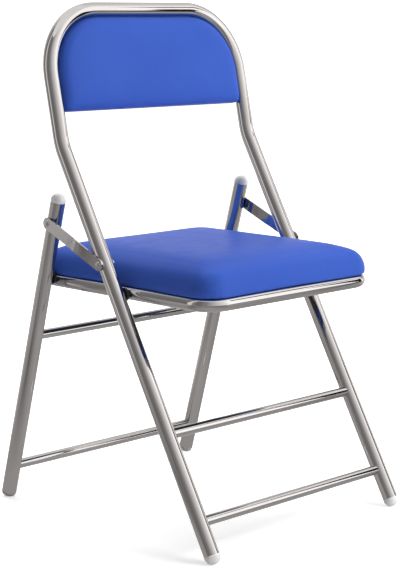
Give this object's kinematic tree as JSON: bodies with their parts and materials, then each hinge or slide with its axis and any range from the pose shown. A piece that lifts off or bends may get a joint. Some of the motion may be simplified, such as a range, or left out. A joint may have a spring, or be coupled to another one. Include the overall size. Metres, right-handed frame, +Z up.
{
  "type": "folding chair",
  "caption": "Folding chair with a bent chromed tube frame, a padded blue seat on a tube ring, a padded back panel and rear legs that swing in on link straps.",
  "frame": {"origin": "on the floor, at the centre of the open chair's footprint", "axes": "X across the chair, -Y towards its front, +Z up"},
  "size_m": [0.4628, 0.5226, 0.8395],
  "materials": {
    "chrome": "bright chrome plate on steel",
    "blue_vinyl": "smooth satin leatherette over foam",
    "white_plastic": "satin moulded plastic",
    "grey_plastic": "satin moulded plastic",
    "black_plastic": "matt nylon",
    "plywood": "black stained plywood",
    "steel": "zinc plated steel"
  },
  "bodies": {
    "front_frame": {"front_frame_tube": "chrome", "front_lower_crossbar": "chrome", "front_upper_crossbar": "chrome", "front_foot_cap_left": "white_plastic", "front_foot_cap_right": "white_plastic", "backrest_lugs": "steel", "backrest_board": "plywood", "backrest_rear_cover": "blue_vinyl", "backrest_cushion": "blue_vinyl", "backrest_screws": "steel", "seat_pivot_pin_left": "steel", "seat_pivot_pin_right": "steel", "seat_pivot_spacer_left": "black_plastic", "seat_pivot_spacer_right": "black_plastic", "link_front_rivet_left": "chrome", "link_front_rivet_right": "chrome"},
    "seat": {"seat_ring": "chrome", "seat_lugs": "steel", "seat_board": "plywood", "seat_cushion": "blue_vinyl", "seat_screws": "steel"},
    "rear_legs": {"rear_leg_left": "chrome", "rear_leg_right": "chrome", "rear_lower_crossbar": "chrome", "rear_upper_crossbar": "chrome", "rear_foot_cap_left": "grey_plastic", "rear_foot_cap_right": "grey_plastic", "rear_top_cap_left": "white_plastic", "rear_top_cap_right": "white_plastic", "rear_pivot_pin_left": "steel", "rear_pivot_pin_right": "steel", "rear_pivot_spacer_left": "black_plastic", "rear_pivot_spacer_right": "black_plastic"},
    "link_left": {"link_strap_left": "chrome", "link_rear_rivet_left": "chrome"},
    "link_right": {"link_strap_right": "chrome", "link_rear_rivet_right": "chrome"}
  },
  "joints": [
    {"name": "seat_fold", "type": "hinge", "parent": "front_frame", "child": "seat", "pos_m": [0, -0.03661, 0.3855], "axis": [-1, 0, 0], "range_deg": [0, 113.5]},
    {"name": "rear_legs_fold", "type": "hinge", "parent": "seat", "child": "rear_legs", "pos_m": [0, 0.14181, 0.3925], "axis": [1, 0, 0], "range_deg": [0, 68.4]},
    {"name": "link_left_fold", "type": "hinge", "parent": "front_frame", "child": "link_left", "pos_m": [-0.227, -0.00962, 0.433], "axis": [-1, 0, 0], "range_deg": [0, 131.9]},
    {"name": "link_right_fold", "type": "hinge", "parent": "front_frame", "child": "link_right", "pos_m": [0.227, -0.00962, 0.433], "axis": [-1, 0, 0], "range_deg": [0, 131.9]}
  ],
  "couplings": [
    {"joint": "rear_legs_fold", "follows": "seat_fold", "ratio": 0.6019},
    {"joint": "link_left_fold", "follows": "seat_fold", "ratio": 1.161},
    {"joint": "link_right_fold", "follows": "seat_fold", "ratio": 1.161}
  ]
}
